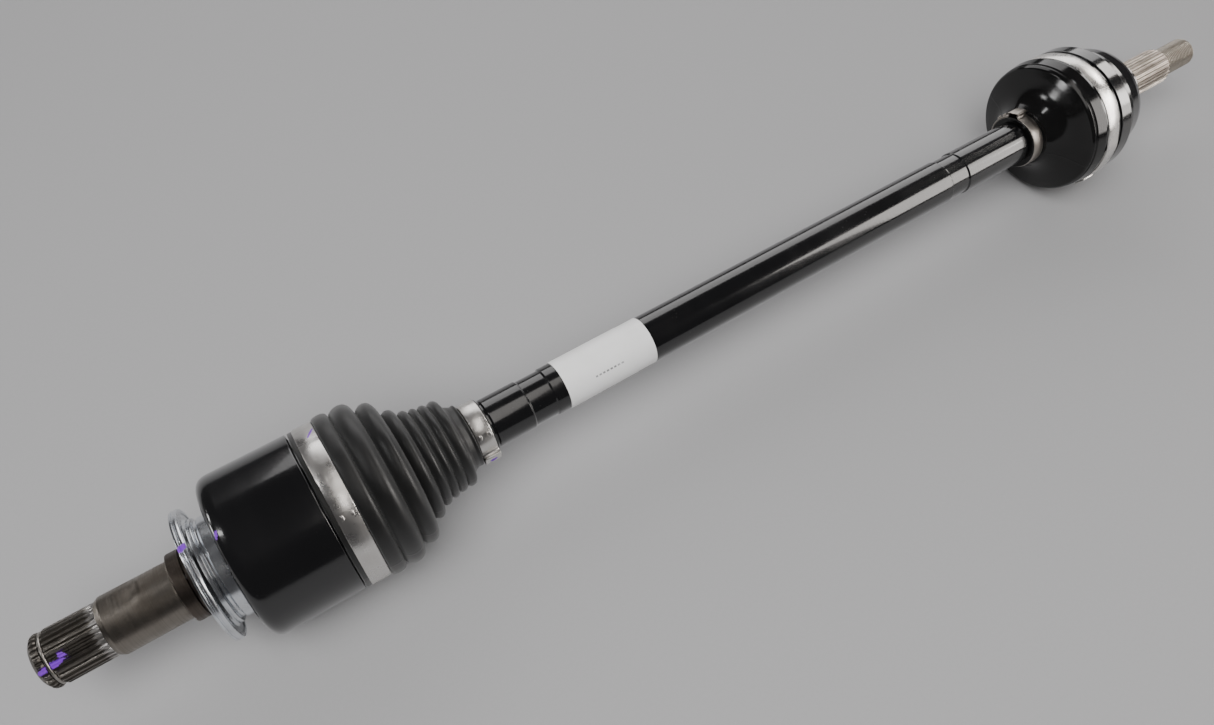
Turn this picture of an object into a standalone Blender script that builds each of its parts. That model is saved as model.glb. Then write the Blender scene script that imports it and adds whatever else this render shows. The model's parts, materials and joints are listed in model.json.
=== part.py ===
"""CV axle: tripod plunging joint at the inner end, six-ball fixed joint at the outer end, solid bar between.

Units are millimetres in the constants and metres in the scene. +X runs along the bar from the inner (gearbox)
end to the outer (wheel) end, +Z is up, and the origin is on the bar's axis at half the overall length.
"""

import math

import bmesh
import bpy
from mathutils import Vector

MM = 0.001
GAP = 0.3

# overall
HALF_LENGTH = 405.0
SIDES = 28
BAR_SIDES = 24
SMALL_SIDES = 20

# joint centres on the axle's axis
INNER_CENTRE = -271.6
OUTER_CENTRE = 289.0

# inner housing
SPLINE_TEETH = 28
INNER_SPLINE_TIP_R = 14.0
INNER_SPLINE_ROOT_R = 12.9
INNER_SPLINE_END = -373.0
STUB_R = 15.4
SHOULDER_R = 18.0
BOSS_R = 24.0
SEAL_FACE = -338.0
BOSS_START = -325.0
HOUSING_BACK = -311.6
HOUSING_R = 44.0
HOUSING_MOUTH = -249.8
INNER_SEAT_R = 40.8
INNER_SEAT_START = -263.6
CAVITY_FLOOR = -308.6
TRACK_HALF_WIDTH = 17.9
TRACK_REACH = 34.8
TRACK_CORNER = 3.0
TRIPOD_ANGLES = (90.0, 210.0, 330.0)

# tripod
TRUNNION_R = 8.9
TRUNNION_TIP = 33.0
ROLLER_MIDDLE = 26.0
ROLLER_HALF_WIDTH = 5.0
ROLLER_R = 17.0
ROLLER_BORE_R = 11.9
NEEDLE_OUTER_R = 11.6
HUB_R = 16.5
HUB_HALF_WIDTH = 10.0
BAR_END_R = 11.0

# bar
BAR_R = 14.0
BAR_NECK_R = 13.5
BAR_WAIST_R = 11.5
NECKS = ((-147.4, -132.8), (161.4, 176.0))
LABEL_SPAN = (-126.0, -68.6)
CUFF_SEAT_R = 13.2

# boot cuffs and clamps
SMALL_CUFF_R = 13.5
INNER_SMALL_CLAMP = (-181.7, -172.3)
INNER_LARGE_CLAMP = (-260.5, -250.0)
OUTER_SMALL_CLAMP = (230.4, 238.8)
OUTER_LARGE_CLAMP = (266.6, 276.6)
BOOT_WALL = 2.6

# outer joint
BALL_R = 7.6
BALL_PITCH_R = 26.6
GROOVE_R = 9.6
RACE_R = 23.0
RACE_HALF_WIDTH = 12.0
CAGE_INNER_R = 23.4
CAGE_OUTER_R = 29.2
CAGE_HALF_WIDTH = 14.0
BELL_BORE_R = 29.6
BALL_ANGLES = (90.0, 30.0, 330.0, 270.0, 210.0, 150.0)

# outer bell
BELL_MOUTH = 266.0
BELL_R = 43.9
OUTER_SEAT_R = 41.0
BELL_TAPER_R = 39.6
BEARING_FACE = 330.0
OUTER_SPLINE_TIP_R = 12.6
OUTER_SPLINE_ROOT_R = 11.7
OUTER_SPLINE_START = 332.6
OUTER_SPLINE_END = 374.0
THREAD_R = 9.8

PARTS = None
CUTTERS = None


def new_collection(name):
    collection = bpy.data.collections.new(name)
    bpy.context.scene.collection.children.link(collection)
    return collection


def material(name, colour, metallic, roughness):
    made = bpy.data.materials.new(name)
    made.use_nodes = True
    shader = made.node_tree.nodes["Principled BSDF"]
    shader.inputs["Base Color"].default_value = (*colour, 1.0)
    shader.inputs["Metallic"].default_value = metallic
    shader.inputs["Roughness"].default_value = roughness
    return made


def add_object(name, mesh, collection):
    made = bpy.data.objects.new(name, mesh)
    collection.objects.link(made)
    return made


def finish_part(part, look):
    part.data.materials.append(material(part.name + "_look", *look))
    return part


def make_cutter(cutter):
    cutter.hide_render = True
    cutter.display_type = "WIRE"
    return cutter


def lathe(name, profile, sides=SIDES, origin=0.0, closed=False, collection=None):
    """Turns (x, radius) points about the X axis. Points run down the outer side from high x to low x."""
    mesh = bpy.data.meshes.new(name)
    points = [((x - origin) * MM, r * MM, 0.0) for x, r in profile]
    edges = [(i, i + 1) for i in range(len(points) - 1)]
    if closed:
        edges.append((len(points) - 1, 0))
    mesh.from_pydata(points, edges, [])
    part = add_object(name, mesh, collection or PARTS)
    part.location.x = origin * MM
    screw = part.modifiers.new("turn", "SCREW")
    screw.axis = "X"
    screw.steps = sides
    screw.render_steps = sides
    screw.use_merge_vertices = True
    screw.merge_threshold = 0.00001
    screw.use_smooth_shade = False
    return part


def ring(name, x0, x1, r_in, r_out, sides=SIDES, origin=0.0):
    profile = [(x1, r_out), (x0, r_out), (x0, r_in), (x1, r_in)]
    return lathe(name, profile, sides, origin, closed=True)


def mesh_from_bmesh(name, bm):
    bmesh.ops.recalc_face_normals(bm, faces=bm.faces)
    mesh = bpy.data.meshes.new(name)
    bm.to_mesh(mesh)
    bm.free()
    return mesh


def loft(name, rings, collection):
    """Skins equal-length rings of points, given in millimetres, and caps both ends."""
    bm = bmesh.new()
    made = [[bm.verts.new(Vector(p) * MM) for p in points] for points in rings]
    count = len(made[0])
    for low, high in zip(made, made[1:]):
        for i in range(count):
            j = (i + 1) % count
            bm.faces.new((low[i], low[j], high[j], high[i]))
    bm.faces.new(made[0])
    bm.faces.new(made[-1])
    return add_object(name, mesh_from_bmesh(name, bm), collection)


def prism(name, outline, x0, x1, collection):
    """Extrudes (y, z) points along X."""
    return loft(name, [[(x, y, z) for y, z in outline] for x in (x0, x1)], collection)


def turned(outline, degrees):
    c = math.cos(math.radians(degrees - 90.0))
    s = math.sin(math.radians(degrees - 90.0))
    return [(y * c - z * s, y * s + z * c) for y, z in outline]


def boolean(part, cutter, operation="DIFFERENCE"):
    make_cutter(cutter)
    step = part.modifiers.new(operation.lower(), "BOOLEAN")
    step.operation = operation
    step.solver = "EXACT"
    step.object = cutter


def spline_outline(teeth, root_r, tip_r):
    points = []
    for i in range(teeth):
        for share, radius in ((0.0, root_r), (0.3, root_r), (0.5, tip_r), (0.8, tip_r)):
            angle = 2.0 * math.pi * (i + share) / teeth
            points.append((radius * math.cos(angle), radius * math.sin(angle)))
    return points


def spline_prism(name, x0, x1, root_r, tip_r):
    return prism(name, spline_outline(SPLINE_TEETH, root_r, tip_r), x0, x1, CUTTERS)


def split_ring(name, x0, x1, r_in, r_out, gap_angle, origin=0.0):
    """A retaining ring with a gap in it."""
    part = ring(name, x0, x1, r_in, r_out, SMALL_SIDES, origin)
    half = math.sin(math.radians(gap_angle / 2.0)) * r_out
    outline = [(-half, 0.0), (half, 0.0), (half, r_out * 1.5), (-half, r_out * 1.5)]
    cutter = prism(name + "_gap", turned(outline, 270.0), x0 - 2.0, x1 + 2.0, CUTTERS)
    boolean(part, cutter)
    return part


def inner_housing():
    profile = [
        (HOUSING_MOUTH, 0.0),
        (HOUSING_MOUTH, INNER_SEAT_R - 0.6),
        (HOUSING_MOUTH - 0.6, INNER_SEAT_R),
        (INNER_SEAT_START, INNER_SEAT_R),
        (INNER_SEAT_START - 0.5, HOUSING_R),
        (HOUSING_BACK + 7.0, HOUSING_R),
        (HOUSING_BACK + 3.2, HOUSING_R - 1.1),
        (HOUSING_BACK + 0.8, HOUSING_R - 3.8),
        (HOUSING_BACK, HOUSING_R - 7.0),
        (HOUSING_BACK, BOSS_R),
        (BOSS_START, BOSS_R),
        (BOSS_START - 0.8, BOSS_R - 0.8),
        (BOSS_START - 0.8, SHOULDER_R),
        (SEAL_FACE + 0.8, SHOULDER_R),
        (SEAL_FACE, SHOULDER_R - 0.8),
        (SEAL_FACE, STUB_R),
        (INNER_SPLINE_END + 1.2, STUB_R),
        (INNER_SPLINE_END, INNER_SPLINE_ROOT_R - 0.2),
        (-398.0, INNER_SPLINE_ROOT_R - 0.2),
        (-398.0, 11.3),
        (-400.0, 11.3),
        (-400.0, 12.9),
        (-404.0, 12.9),
        (-HALF_LENGTH, 11.9),
        (-HALF_LENGTH, 0.0),
    ]
    part = lathe("inner_housing", profile)
    teeth = spline_prism(
        "inner_spline_teeth", -397.6, INNER_SPLINE_END + 0.4, INNER_SPLINE_ROOT_R, INNER_SPLINE_TIP_R
    )
    boolean(part, teeth, "UNION")
    bore = [
        (HOUSING_MOUTH + 5.0, 0.0),
        (HOUSING_MOUTH + 5.0, 32.0),
        (HOUSING_MOUTH, 31.2),
        (-286.0, 23.0),
        (CAVITY_FLOOR, 22.0),
        (CAVITY_FLOOR, 0.0),
    ]
    boolean(part, lathe("inner_housing_bore", bore, collection=CUTTERS))
    corner = TRACK_REACH - TRACK_CORNER
    flat = TRACK_HALF_WIDTH - TRACK_CORNER
    outline = [
        (-TRACK_HALF_WIDTH, 6.0),
        (TRACK_HALF_WIDTH, 6.0),
        (TRACK_HALF_WIDTH, corner),
        (flat, TRACK_REACH),
        (-flat, TRACK_REACH),
        (-TRACK_HALF_WIDTH, corner),
    ]
    for number, angle in enumerate(TRIPOD_ANGLES, 1):
        cutter = prism(
            f"inner_track_{number}", turned(outline, angle), CAVITY_FLOOR + 0.2, HOUSING_MOUTH + 5.0, CUTTERS
        )
        boolean(part, cutter)
    return finish_part(part, ((0.02, 0.02, 0.022), 0.0, 0.2))


def dust_shield():
    """A pressed ring on the boss behind the housing, with stepped rings on its flange."""
    bore = BOSS_R + GAP
    profile = [
        (HOUSING_BACK - GAP, 27.2),
        (-317.8, 27.2),
        (-318.4, 26.0),
        (-319.6, 26.0),
        (-320.2, 28.4),
        (-323.2, 28.4),
        (-323.2, 34.6),
        (-324.2, 35.4),
        (-326.9, 35.4),
        (-326.9, 32.0),
        (-327.6, 31.2),
        (-327.6, 29.0),
        (-326.7, 28.2),
        (-326.7, 26.4),
        (-327.9, 25.6),
        (-327.9, bore),
    ]
    part = lathe("dust_shield", profile + [(HOUSING_BACK - GAP, bore)], closed=True)
    return finish_part(part, ((0.75, 0.77, 0.8), 1.0, 0.28))


def inner_stub_circlip():
    part = split_ring("inner_stub_circlip", -399.7, -398.3, 11.6, 13.4, 24.0)
    return finish_part(part, ((0.3, 0.28, 0.26), 1.0, 0.35))


def radial_lathe(name, profile, angle, sides, closed, collection=None):
    """Turns (distance from the axle's axis, radius) points about a radial line at the inner centre."""
    part = lathe(name, profile, sides, 0.0, closed, collection)
    # the turned shape's X axis is stood up to Z first, then swung round to its angle
    part.rotation_mode = "YXZ"
    part.rotation_euler = (math.radians(angle - 90.0), -math.pi / 2.0, 0.0)
    part.location = (INNER_CENTRE * MM, 0.0, 0.0)
    return part


def spider():
    hub = [
        (INNER_CENTRE + HUB_HALF_WIDTH, HUB_R - 1.0),
        (INNER_CENTRE + HUB_HALF_WIDTH - 1.0, HUB_R),
        (INNER_CENTRE - HUB_HALF_WIDTH + 1.0, HUB_R),
        (INNER_CENTRE - HUB_HALF_WIDTH, HUB_R - 1.0),
        (INNER_CENTRE - HUB_HALF_WIDTH, BAR_END_R + GAP),
        (INNER_CENTRE + HUB_HALF_WIDTH, BAR_END_R + GAP),
    ]
    part = lathe("spider", hub, SIDES, INNER_CENTRE, closed=True)
    trunnion = [
        (TRUNNION_TIP, 0.0),
        (TRUNNION_TIP, TRUNNION_R - 1.0),
        (TRUNNION_TIP - 0.5, TRUNNION_R),
        (32.45, TRUNNION_R - 0.8),
        (31.05, TRUNNION_R - 0.8),
        (31.0, TRUNNION_R),
        (20.6, TRUNNION_R),
        (20.6, 11.2),
        (13.2, 11.2),
        (13.2, 0.0),
    ]
    for number, angle in enumerate(TRIPOD_ANGLES, 1):
        post = radial_lathe(f"trunnion_{number}", trunnion, angle, SMALL_SIDES, False, CUTTERS)
        boolean(part, post, "UNION")
    return finish_part(part, ((0.55, 0.55, 0.56), 1.0, 0.3))


def roller(number, angle):
    profile = []
    for share in (1.0, 0.5, 0.0, -0.5, -1.0):
        offset = ROLLER_HALF_WIDTH * share
        profile.append((ROLLER_MIDDLE + offset, math.sqrt(ROLLER_R**2 - offset**2)))
    profile.append((ROLLER_MIDDLE - ROLLER_HALF_WIDTH, ROLLER_BORE_R))
    profile.append((ROLLER_MIDDLE + ROLLER_HALF_WIDTH, ROLLER_BORE_R))
    part = radial_lathe(f"roller_{number}", profile, angle, SMALL_SIDES, True)
    return finish_part(part, ((0.6, 0.6, 0.61), 1.0, 0.2))


def needle_bearing(number, angle):
    profile = [
        (30.9, NEEDLE_OUTER_R),
        (21.0, NEEDLE_OUTER_R),
        (21.0, TRUNNION_R + GAP),
        (30.9, TRUNNION_R + GAP),
    ]
    part = radial_lathe(f"needle_bearing_{number}", profile, angle, SMALL_SIDES, True)
    return finish_part(part, ((0.65, 0.64, 0.62), 1.0, 0.25))


def roller_retainer(number, angle):
    profile = [(32.3, 11.3), (31.2, 11.3), (31.2, 8.5), (32.3, 8.5)]
    part = radial_lathe(f"roller_retainer_{number}", profile, angle, SMALL_SIDES, True)
    return finish_part(part, ((0.3, 0.29, 0.28), 1.0, 0.35))


def spider_ring():
    part = split_ring("spider_ring", INNER_CENTRE - 12.0, INNER_CENTRE - 10.4, 10.0, 12.6, 40.0, INNER_CENTRE)
    return finish_part(part, ((0.3, 0.29, 0.28), 1.0, 0.35))


def shaft_bar():
    profile = [
        (OUTER_CENTRE + 15.5, 0.0),
        (OUTER_CENTRE + 15.5, BAR_END_R - 1.2),
        (OUTER_CENTRE + 14.3, BAR_END_R),
        (OUTER_CENTRE + 14.0, BAR_END_R),
        (OUTER_CENTRE + 14.0, 9.5),
        (OUTER_CENTRE + 12.2, 9.5),
        (OUTER_CENTRE + 12.2, BAR_END_R),
        (OUTER_CENTRE - 13.0, BAR_END_R),
        (OUTER_CENTRE - 15.0, 12.0),
        (249.0, 12.0),
        (244.5, CUFF_SEAT_R),
        (229.5, CUFF_SEAT_R),
        (229.0, BAR_R),
        (NECKS[1][1] + 0.5, BAR_R),
        (NECKS[1][1], BAR_NECK_R),
        (NECKS[1][0], BAR_NECK_R),
        (NECKS[1][0] - 0.5, BAR_R),
        (NECKS[0][1] + 0.5, BAR_R),
        (NECKS[0][1], BAR_NECK_R),
        (NECKS[0][0], BAR_NECK_R),
        (NECKS[0][0] - 0.5, BAR_R),
        (-169.6, BAR_R),
        (-170.1, CUFF_SEAT_R),
        (-186.6, CUFF_SEAT_R),
        (-194.0, BAR_WAIST_R),
        (INNER_CENTRE + 14.0, BAR_WAIST_R),
        (INNER_CENTRE + 11.5, BAR_END_R),
        (INNER_CENTRE - 10.2, BAR_END_R),
        (INNER_CENTRE - 10.2, 9.7),
        (INNER_CENTRE - 12.2, 9.7),
        (INNER_CENTRE - 12.2, BAR_END_R),
        (INNER_CENTRE - 12.8, BAR_END_R),
        (INNER_CENTRE - 13.8, BAR_END_R - 1.2),
        (INNER_CENTRE - 13.8, 0.0),
    ]
    part = lathe("shaft_bar", profile, BAR_SIDES, INNER_CENTRE)
    return finish_part(part, ((0.02, 0.02, 0.022), 0.0, 0.2))


def label():
    part = ring("label", *LABEL_SPAN, BAR_R + 0.12, BAR_R + 0.34, BAR_SIDES, INNER_CENTRE)
    return finish_part(part, ((0.85, 0.85, 0.84), 0.0, 0.6))


def boot(name, outer, cuffs, origin):
    """A sleeve: its inner side runs one wall below the valleys of its outer side, and its cuffs are bored."""
    low_cuff, high_cuff = cuffs
    inner = []
    for (x0, r0), (x, r), (x1, r1) in zip(outer, outer[1:], outer[2:]):
        # a valley, or a bend that lies below the straight line between its neighbours
        chord = r0 + (r1 - r0) * (x - x0) / (x1 - x0)
        if low_cuff[0] < x < high_cuff[0] and r < chord:
            inner.insert(0, (x, r - BOOT_WALL))
    low_x = outer[-1][0]
    high_x = outer[0][0]
    profile = list(outer)
    profile += [(low_x, low_cuff[1]), low_cuff]
    profile += inner
    profile += [high_cuff, (high_x, high_cuff[1])]
    return lathe(name, profile, SIDES, origin, closed=True)


def inner_boot():
    outer = [
        (-171.0, 15.5),
        (-182.8, 15.6),
        (-183.6, 17.8),
        (-186.6, 18.6),
        (-190.4, 24.4),
        (-192.6, 25.0),
        (-195.0, 21.4),
        (-197.0, 25.1),
        (-198.8, 25.5),
        (-200.4, 21.8),
        (-201.8, 25.9),
        (-203.4, 26.2),
        (-204.8, 22.4),
        (-206.2, 27.0),
        (-208.4, 27.6),
        (-210.8, 23.6),
        (-213.6, 31.0),
        (-216.0, 31.6),
        (-218.2, 28.0),
        (-221.0, 39.2),
        (-224.4, 40.4),
        (-228.6, 34.8),
        (-233.0, 43.6),
        (-237.0, 45.1),
        (-240.6, 40.6),
        (-243.8, 44.8),
        (-246.8, 45.5),
        (-249.4, 43.8),
        (-262.8, 43.8),
    ]
    cuffs = ((-249.2, INNER_SEAT_R + GAP), (-185.2, SMALL_CUFF_R))
    part = boot("inner_boot", outer, cuffs, INNER_CENTRE)
    return finish_part(part, ((0.025, 0.025, 0.026), 0.0, 0.55))


def outer_boot():
    outer = [
        (278.4, 43.9),
        (265.9, 43.9),
        (265.1, 44.8),
        (256.6, 43.9),
        (255.6, 42.9),
        (254.4, 43.4),
        (253.2, 42.2),
        (251.4, 37.6),
        (248.6, 30.0),
        (245.9, 24.2),
        (243.0, 20.6),
        (240.2, 19.6),
        (239.8, 17.4),
        (229.7, 17.3),
    ]
    cuffs = ((242.4, SMALL_CUFF_R), (265.5, OUTER_SEAT_R + GAP))
    part = boot("outer_boot", outer, cuffs, OUTER_CENTRE)
    return finish_part(part, ((0.015, 0.015, 0.016), 0.0, 0.3))


def clamp(name, span, r_in, r_out, ear, origin):
    """A band, with a folded ear that stands up from it over the given angle."""
    part = ring(name, span[0], span[1], r_in, r_out, SIDES, origin)
    width, height, angle = ear
    low = (r_in + r_out) / 2.0
    outline = [
        (-width / 2.0, low),
        (width / 2.0, low),
        (width / 2.0, r_out + height - 0.8),
        (width / 2.0 - 0.8, r_out + height),
        (-width / 2.0 + 0.8, r_out + height),
        (-width / 2.0, r_out + height - 0.8),
    ]
    block = prism(
        name + "_ear", turned(outline, angle), span[0] + 1.0 - origin, span[1] - 1.0 - origin, CUTTERS
    )
    block.location.x = origin * MM
    boolean(part, block, "UNION")
    return finish_part(part, ((0.72, 0.72, 0.72), 1.0, 0.25))


def groove_cutter(name, angle, low, high):
    """A tube swept along a circle about the outer joint's centre, in the axial plane at the given angle."""
    rings = []
    steps = 6
    around = 12
    radial = Vector((0.0, math.cos(math.radians(angle)), math.sin(math.radians(angle))))
    axial = Vector((1.0, 0.0, 0.0))
    across = axial.cross(radial)
    centre = Vector((OUTER_CENTRE, 0.0, 0.0))
    for i in range(steps + 1):
        turn = math.radians(low + (high - low) * i / steps)
        outward = axial * math.sin(turn) + radial * math.cos(turn)
        middle = centre + outward * BALL_PITCH_R
        points = []
        for j in range(around):
            spin = 2.0 * math.pi * j / around
            points.append(middle + (outward * math.cos(spin) + across * math.sin(spin)) * GROOVE_R)
        rings.append(points)
    return loft(name, rings, CUTTERS)


def arc(radius, low, high, count):
    """(x, radius) points on a sphere about the outer joint's centre, from high x to low x."""
    points = []
    for i in range(count + 1):
        x = high + (low - high) * i / count
        points.append((OUTER_CENTRE + x, math.sqrt(radius**2 - x**2)))
    return points


def inner_race():
    bore = BAR_END_R + GAP
    profile = arc(RACE_R, -RACE_HALF_WIDTH, RACE_HALF_WIDTH, 6)
    profile.append((OUTER_CENTRE - RACE_HALF_WIDTH, bore))
    profile.append((OUTER_CENTRE + RACE_HALF_WIDTH, bore))
    part = lathe("inner_race", profile, SIDES, OUTER_CENTRE, closed=True)
    for number, angle in enumerate(BALL_ANGLES, 1):
        boolean(part, groove_cutter(f"race_groove_{number}", angle, -48.0, 48.0))
    return finish_part(part, ((0.5, 0.5, 0.51), 1.0, 0.28))


def race_circlip():
    part = split_ring("race_circlip", OUTER_CENTRE + 12.4, OUTER_CENTRE + 13.8, 9.8, 12.4, 30.0, OUTER_CENTRE)
    return finish_part(part, ((0.3, 0.29, 0.28), 1.0, 0.35))


def cage():
    profile = arc(CAGE_OUTER_R, -CAGE_HALF_WIDTH, CAGE_HALF_WIDTH, 6)
    profile += list(reversed(arc(CAGE_INNER_R, -CAGE_HALF_WIDTH, CAGE_HALF_WIDTH, 6)))
    part = lathe("cage", profile, SIDES, OUTER_CENTRE, closed=True)
    outline = [(-9.4, 15.0), (9.4, 15.0), (9.4, 36.0), (-9.4, 36.0)]
    half = BALL_R + 0.35
    for number, angle in enumerate(BALL_ANGLES, 1):
        window = prism(
            f"cage_window_{number}", turned(outline, angle), OUTER_CENTRE - half, OUTER_CENTRE + half, CUTTERS
        )
        boolean(part, window)
    return finish_part(part, ((0.42, 0.41, 0.4), 1.0, 0.35))


def ball(number, angle):
    mesh = bpy.data.meshes.new(f"ball_{number}")
    bm = bmesh.new()
    bmesh.ops.create_uvsphere(bm, u_segments=14, v_segments=8, radius=BALL_R * MM)
    turn = math.radians(angle)
    shift = Vector((0.0, math.cos(turn), math.sin(turn))) * BALL_PITCH_R * MM
    bmesh.ops.translate(bm, verts=bm.verts, vec=shift)
    bm.to_mesh(mesh)
    bm.free()
    part = add_object(f"ball_{number}", mesh, PARTS)
    part.location.x = OUTER_CENTRE * MM
    return finish_part(part, ((0.75, 0.75, 0.76), 1.0, 0.1))


def outer_bell():
    profile = [
        (HALF_LENGTH, 0.0),
        (HALF_LENGTH, THREAD_R - 1.2),
        (HALF_LENGTH - 1.2, THREAD_R),
        (OUTER_SPLINE_END + 1.8, THREAD_R),
        (OUTER_SPLINE_END + 1.0, 9.0),
        (OUTER_SPLINE_END - 0.6, 9.0),
        (OUTER_SPLINE_END - 0.6, OUTER_SPLINE_ROOT_R - 0.2),
        (OUTER_SPLINE_START, OUTER_SPLINE_ROOT_R - 0.2),
        (OUTER_SPLINE_START, 13.4),
        (BEARING_FACE, 13.6),
        (BEARING_FACE, 19.4),
        (BEARING_FACE - 0.8, 20.2),
        (BEARING_FACE - 4.0, 20.2),
        (BEARING_FACE - 5.6, 22.6),
        (316.4, 28.4),
        (311.0, 33.2),
        (308.6, 35.4),
        (298.0, BELL_TAPER_R - 1.4),
        (290.6, BELL_TAPER_R),
        (290.0, BELL_R - 1.2),
        (288.9, BELL_R),
        (280.0, BELL_R),
        (279.2, OUTER_SEAT_R),
        (BELL_MOUTH + 0.5, OUTER_SEAT_R),
        (BELL_MOUTH, OUTER_SEAT_R - 0.5),
        (BELL_MOUTH, 0.0),
    ]
    part = lathe("outer_bell", profile, SIDES, OUTER_CENTRE)
    start = OUTER_SPLINE_START - 0.4
    teeth = spline_prism(
        "outer_spline_teeth", start, OUTER_SPLINE_END, OUTER_SPLINE_ROOT_R, OUTER_SPLINE_TIP_R
    )
    boolean(part, teeth, "UNION")
    bore = [(OUTER_CENTRE + BELL_BORE_R, 0.0)]
    bore += arc(BELL_BORE_R, -10.8, BELL_BORE_R - 1.2, 7)
    bore += [(BELL_MOUTH - 0.4, 39.0), (BELL_MOUTH - 4.0, 42.8), (BELL_MOUTH - 4.0, 0.0)]
    boolean(part, lathe("bell_bore", bore, collection=CUTTERS))
    for number, angle in enumerate(BALL_ANGLES, 1):
        boolean(part, groove_cutter(f"bell_groove_{number}", angle, -62.0, 39.0))
    return finish_part(part, ((0.02, 0.02, 0.022), 0.0, 0.2))


def main():
    global PARTS, CUTTERS
    for old in list(bpy.data.objects):
        bpy.data.objects.remove(old)
    PARTS = new_collection("cv_axle")
    CUTTERS = new_collection("cutters")
    inner_housing()
    dust_shield()
    inner_stub_circlip()
    spider()
    spider_ring()
    for number, angle in enumerate(TRIPOD_ANGLES, 1):
        roller(number, angle)
        needle_bearing(number, angle)
        roller_retainer(number, angle)
    shaft_bar()
    label()
    inner_boot()
    clamp("inner_large_clamp", INNER_LARGE_CLAMP, 44.1, 45.3, (9.0, 1.0, 124.0), 0.0)
    clamp("inner_small_clamp", INNER_SMALL_CLAMP, 15.9, 16.8, (7.0, 3.4, 196.0), INNER_CENTRE)
    outer_boot()
    clamp("outer_large_clamp", OUTER_LARGE_CLAMP, 44.2, 45.4, (9.0, 1.4, 212.0), OUTER_CENTRE)
    clamp("outer_small_clamp", OUTER_SMALL_CLAMP, 17.7, 18.6, (8.0, 3.2, 70.0), INNER_CENTRE)
    inner_race()
    race_circlip()
    cage()
    for number, angle in enumerate(BALL_ANGLES, 1):
        ball(number, angle)
    outer_bell()


main()
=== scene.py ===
"""Looks of the CV axle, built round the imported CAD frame. Lengths are millimetres until they reach a mesh."""

import json
import math

import bmesh
import bpy
import numpy as np
from mathutils import Matrix, Vector


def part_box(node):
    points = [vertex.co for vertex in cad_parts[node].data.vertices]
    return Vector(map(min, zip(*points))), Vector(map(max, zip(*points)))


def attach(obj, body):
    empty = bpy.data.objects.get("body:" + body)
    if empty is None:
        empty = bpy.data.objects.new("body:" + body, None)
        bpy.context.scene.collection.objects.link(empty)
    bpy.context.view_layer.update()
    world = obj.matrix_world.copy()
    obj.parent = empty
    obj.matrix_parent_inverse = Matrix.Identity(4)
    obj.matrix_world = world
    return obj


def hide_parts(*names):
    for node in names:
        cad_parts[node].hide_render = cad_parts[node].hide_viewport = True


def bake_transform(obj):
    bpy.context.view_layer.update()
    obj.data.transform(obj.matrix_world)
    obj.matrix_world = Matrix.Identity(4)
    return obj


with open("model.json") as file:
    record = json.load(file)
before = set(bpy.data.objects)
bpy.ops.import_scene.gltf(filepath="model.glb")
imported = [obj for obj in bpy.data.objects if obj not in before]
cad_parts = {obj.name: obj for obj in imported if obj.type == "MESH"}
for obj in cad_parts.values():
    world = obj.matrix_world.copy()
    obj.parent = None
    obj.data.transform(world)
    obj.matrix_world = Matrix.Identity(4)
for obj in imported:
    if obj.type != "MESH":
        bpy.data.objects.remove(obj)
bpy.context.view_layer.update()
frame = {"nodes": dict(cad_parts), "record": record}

MM = 0.001
HALF_LENGTH = 405.0
TEETH = 28
LABEL_R = 14.2
WHITE = (1.0, 1.0, 1.0)
ALONG = Vector((1.0, 0.0, 0.0))


def span(node):
    """A CAD node's lowest and highest x."""
    low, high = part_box(node)
    return low[0] / MM, high[0] / MM


def middle_of(pair):
    return (pair[0] + pair[1]) / 2.0


def joint_x(name):
    for joint in frame["record"]["behaviour"]["joints"]:
        if joint["name"] == name:
            return joint["pos_m"][0] / MM


OUTER_CENTRE = joint_x("outer_steer")
INNER_CENTRE = joint_x("inner_up_down")
INNER_LARGE = span("inner_large_clamp")
INNER_SMALL = span("inner_small_clamp")
OUTER_LARGE = span("outer_large_clamp")
OUTER_SMALL = span("outer_small_clamp")
LABEL = span("label")
HOUSING_BACK = span("dust_shield")[1] + 0.3


# ---------------------------------------------------------------- shapes


def fillet_path(corners, steps=5):
    """Rounds the corners of (x, radius, fillet) points. Points beside each keep long faces flat."""
    points = []
    last = len(corners) - 1
    for i, (x, r, size) in enumerate(corners):
        here = Vector((x, r))
        if size <= 0 or i in (0, last):
            points.append((x, r))
            continue
        back = Vector(corners[i - 1][:2]) - here
        ahead = Vector(corners[i + 1][:2]) - here
        half = back.angle(ahead) / 2.0
        reach = min(size / math.tan(half), back.length * 0.45, ahead.length * 0.45)
        start = here + back.normalized() * reach
        end = here + ahead.normalized() * reach
        margin = min(0.25, reach * 0.4)
        if back.length > reach * 2.0 + margin:
            outside = start + back.normalized() * margin
            points.append((outside.x, outside.y))
        for k in range(steps + 1):
            t = k / steps
            p = start * (1 - t) ** 2 + here * (2 * t * (1 - t)) + end * t**2
            points.append((p.x, p.y))
        if ahead.length > reach * 2.0 + margin:
            outside = end + ahead.normalized() * margin
            points.append((outside.x, outside.y))
    return points


def moved(origin, corners):
    """Corners whose x is counted from an origin."""
    return [(origin + x, r, size) for x, r, size in corners]


def curve_path(points, steps=6):
    """A smooth line through (x, radius) points."""
    p = [np.array(q, float) for q in points]
    p = [2 * p[0] - p[1]] + p + [2 * p[-1] - p[-2]]
    out = []
    for i in range(1, len(p) - 2):
        for k in range(steps):
            t = k / steps
            a, b, c, d = p[i - 1], p[i], p[i + 1], p[i + 2]
            square = (2 * a - 5 * b + 4 * c - d) * t**2
            cube = (3 * b - a - 3 * c + d) * t**3
            q = 0.5 * (2 * b + (c - a) * t + square + cube)
            out.append((float(q[0]), float(q[1])))
    out.append(tuple(map(float, points[-1])))
    return out


def direction(degrees):
    """Straight out from the axle, at an angle from +Y towards +Z."""
    turn = math.radians(degrees)
    return Vector((0.0, math.cos(turn), math.sin(turn)))


def at(x, degrees, radius):
    return Vector((x, 0.0, 0.0)) + direction(degrees) * radius


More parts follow.
